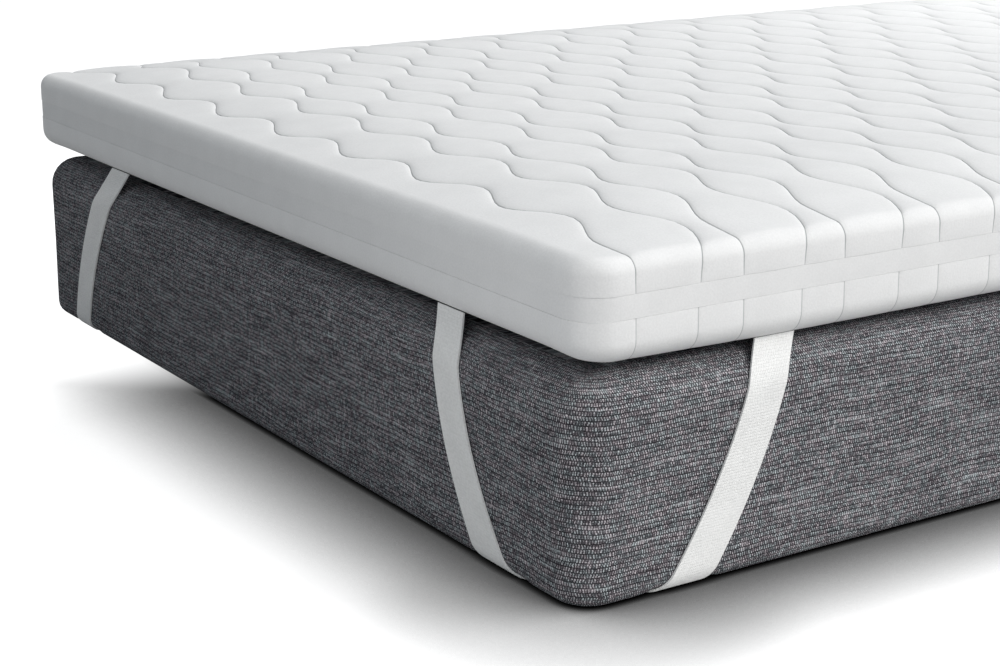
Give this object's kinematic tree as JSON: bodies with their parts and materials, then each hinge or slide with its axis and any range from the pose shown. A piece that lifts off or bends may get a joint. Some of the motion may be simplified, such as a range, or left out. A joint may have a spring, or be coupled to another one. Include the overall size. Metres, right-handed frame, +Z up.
{
  "type": "padded mattress protector on a mattress",
  "caption": "Thick quilted mattress protector with wavy channels and elastic corner straps, fitted on a plain rectangular mattress in a grey heathered cover.",
  "frame": {"origin": "on the floor under the middle of the mattress", "axes": "+X along the length, +Y across the width, +Z up"},
  "size_m": [2.0076, 0.9, 0.2405],
  "materials": {
    "knit_white": "fine white knit, matt, quilted",
    "band_white": "plain fine white knit, matt",
    "webbing_white": "flat white elastic webbing, fine woven texture",
    "heather_grey": "coarse upholstery weave of dark grey yarn with light slubs"
  },
  "bodies": {
    "root": {"quilted_topper": "knit_white", "side_band": "band_white", "strap_corner_1": "webbing_white", "strap_corner_2": "webbing_white", "strap_corner_3": "webbing_white", "strap_corner_4": "webbing_white", "mattress": "heather_grey"}
  },
  "joints": []
}
